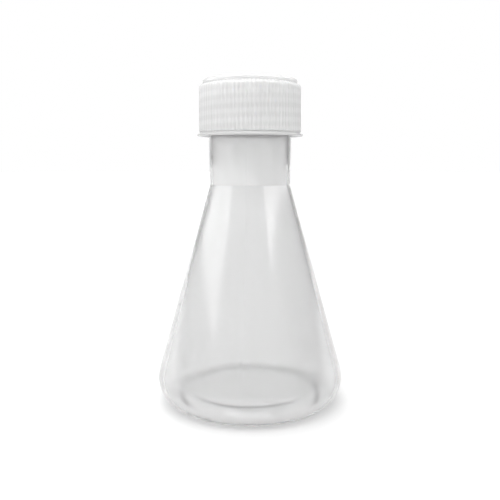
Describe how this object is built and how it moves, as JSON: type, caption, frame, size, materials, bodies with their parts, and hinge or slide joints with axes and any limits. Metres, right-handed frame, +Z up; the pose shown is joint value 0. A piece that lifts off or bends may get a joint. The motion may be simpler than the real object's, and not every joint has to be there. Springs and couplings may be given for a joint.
{
  "type": "erlenmeyer flask",
  "caption": "Translucent plastic conical laboratory flask with a straight neck, a recessed base and a finely ribbed screw cap over a sealing disc.",
  "frame": {"origin": "centre of the flask's foot ring, on the surface that the flask stands on", "axes": "+Z up along the flask's axis, out through the neck; X and Y are any two level directions of the round body"},
  "size_m": [0.087, 0.087, 0.1486],
  "materials": {
    "flask": "natural milky polypropylene, blow moulded, smooth semi-gloss, lets light through",
    "cap": "natural milky polypropylene, injection moulded, fine vertical ribs, satin",
    "seal": "white foamed polyethylene, matte"
  },
  "bodies": {
    "flask": {"flask_body": "flask"},
    "seal": {"sealing_disc": "seal"},
    "cap": {"screw_cap": "cap"}
  },
  "joints": [
    {"name": "cap_lift", "type": "slide", "parent": "flask", "child": "seal", "axis": [0, 0, 1], "range_m": [0, 0.024]},
    {"name": "cap_turn", "type": "hinge", "parent": "seal", "child": "cap", "pos_m": [0, 0, 0.136], "axis": [0, 0, 1], "range_deg": [0, 2160]}
  ],
  "couplings": [
    {"joint": "cap_lift", "follows": "cap_turn", "m_per_rad": 0.00063662}
  ]
}
